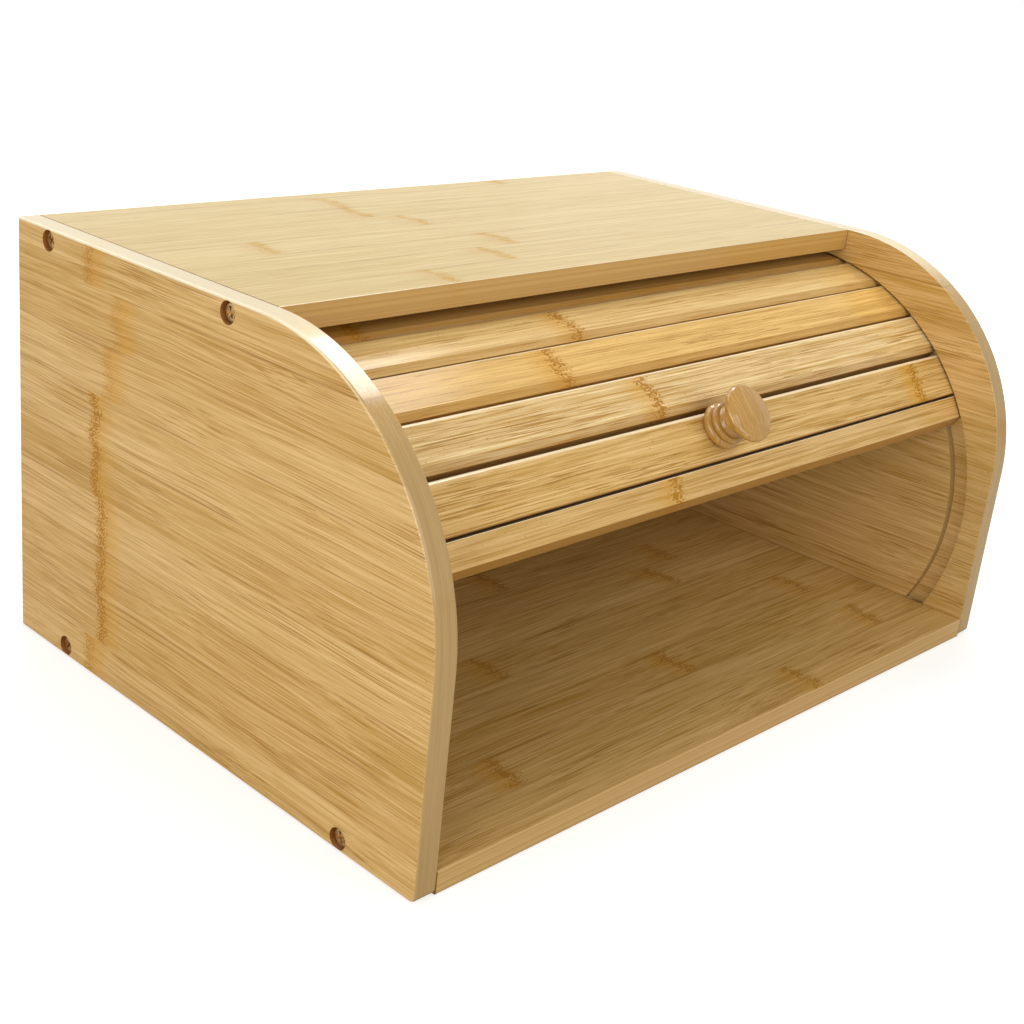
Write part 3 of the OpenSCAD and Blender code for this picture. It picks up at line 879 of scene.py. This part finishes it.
# %% [markdown]
# ## The studio
#
# A white cove. The lamps and a weak even light from all round show a colour about
# as it was picked. The background is white because the camera sees it so, and not
# because of more light on the box. Reflections see it too, but greyer, as the dark
# parts of a real room would make it, so that the lacquer doesn't wash the colours
# out.

# %% World
AMBIENT = 0.36  # the light from all round, where 1 is a full white sky
SHINE = 0.6  # how much of the white a reflection sees

scene = bpy.context.scene
scene.view_settings.view_transform = "Standard"
world = bpy.data.worlds.new("studio")
scene.world = world
world.use_nodes = True
sky = world.node_tree
sky.nodes.clear()
rays = add(sky, "LightPath").outputs
parts = {0: rays["Is Glossy Ray"], 1: SHINE, 2: rays["Is Camera Ray"]}
seen = add(sky, "Math", parts, operation="MULTIPLY_ADD")
seen = add(sky, "Math", {0: seen, 1: rays["Is Transmission Ray"]}, operation="ADD")
white = add(sky, "Background", {"Color": (1, 1, 1, 1), "Strength": 1.0})
soft = add(sky, "Background", {"Color": linear("#f6f4f0"), "Strength": AMBIENT})
both = add(sky, "MixShader", {0: seen, 1: soft, 2: white})
add(sky, "OutputWorld", {"Surface": both})
print("even light:", AMBIENT, "of a white sky")

# %% [markdown]
# The floor is white paper. To the camera it also glows a little, and the more the
# further it is from the box, so it runs into the white behind it without a
# horizon, and only the soft shadow near the box is left.

# %% Floor
FLOOR_SIZE = 12.0  # m
FLOOR_GAP = 0.0002  # m under the box, so the two never share a plane
GLOW_NEAR, GLOW_FAR = 0.62, 1.0  # where 1 is white
FADE_START, FADE_END = 0.3, 1.1  # m from the middle of the box

floor_mesh = bpy.data.meshes.new("floor")
half = FLOOR_SIZE / 2
square = [(-half, -half, 0), (half, -half, 0), (half, half, 0), (-half, half, 0)]
floor_mesh.from_pydata(square, [], [(0, 1, 2, 3)])
floor = bpy.data.objects.new("floor", floor_mesh)
floor.location.z = cad_low.z - FLOOR_GAP
scene.collection.objects.link(floor)
floor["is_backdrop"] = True

paper, paper_tree = new_material("white_paper")
spot = add(paper_tree, "TexCoord").outputs["Object"]
away = add(paper_tree, "VectorMath", {0: spot}, operation="LENGTH").outputs["Value"]
ends = {0: away, 1: FADE_START, 2: FADE_END, 3: GLOW_NEAR, 4: GLOW_FAR}
fade = add(paper_tree, "MapRange", ends, **SOFT_STEP)
to_camera = add(paper_tree, "LightPath").outputs["Is Camera Ray"]
matt = add(paper_tree, "BsdfDiffuse", {"Color": linear("#cbc9c5")})
shown = add(paper_tree, "Math", {0: to_camera, 1: fade}, operation="MULTIPLY")
glow = add(paper_tree, "Emission", {"Color": (1, 1, 1, 1), "Strength": shown})
total = add(paper_tree, "AddShader", {0: matt, 1: glow})
add(paper_tree, "OutputMaterial", {"Surface": total})
floor_mesh.materials.append(paper)
print("floor at", round(floor.location.z, 4), "m")

# %% [markdown]
# A flat lamp turned towards the box lights it like a softbox. The power it needs
# grows with the square of its distance, so each lamp is given the light that it
# should bring, and the power is worked out.
#
# The key lamp is small and hangs high at the right: its mirror image is the white
# glare on the left shoulder, and `roll` turns the lamp so that the glare runs along
# the edge. Wide lamps above, at the back and at the right fill in. The left lamp
# lights the left panel, and the front lamp the door and the inside of the box.

# %% Lamps
AIM = Vector((0, -0.02, 0.1))  # m, the point that the lamps are turned to


def softbox(name, direction, distance, size, light, roll=0.0):
    """A flat lamp. Size is its width and height in metres, and light is 1 for a full white sky."""
    data = bpy.data.lights.new(name, "AREA")
    data.shape = "RECTANGLE"
    data.size, data.size_y = size
    data.energy = light * math.pi**2 * distance**2
    lamp = bpy.data.objects.new(name, data)
    towards = Vector(direction).normalized()
    lamp.location = AIM + towards * distance
    turn = Quaternion((0, 0, 1), math.radians(roll))
    lamp.rotation_euler = ((-towards).to_track_quat("-Z", "Y") @ turn).to_euler()
    scene.collection.objects.link(lamp)
    print(name, "of", round(data.energy, 2), "W at", distance, "m")


softbox("key_lamp", (0.523, 0.245, 0.816), 1.41, (0.8, 0.3), 0.3, roll=-29.0)
softbox("top_lamp", (0.05, 0.42, 0.9), 1.4, (1.4, 0.6), 0.38)
softbox("back_lamp", (0.15, 0.8, 0.58), 1.6, (0.8, 0.8), 0.12)
softbox("right_lamp", (0.92, 0.25, 0.31), 1.6, (1.7, 1.7), 0.03)
softbox("left_lamp", (-0.95, -0.25, 0.15), 1.6, (1.2, 1.2), 0.63)
softbox("front_lamp", (0.05, -0.92, 0.4), 1.6, (1.2, 1.2), 0.42)

# %% [markdown]
# ## The size
#
# Last, the box round everything is written down next to the CAD model's box. The
# finishes and the canvas must not have made the bread box any bigger.

# %% Finish
low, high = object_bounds()
print("grown by:", [round(v, 5) for v in (high - low) - (cad_high - cad_low)], "m")
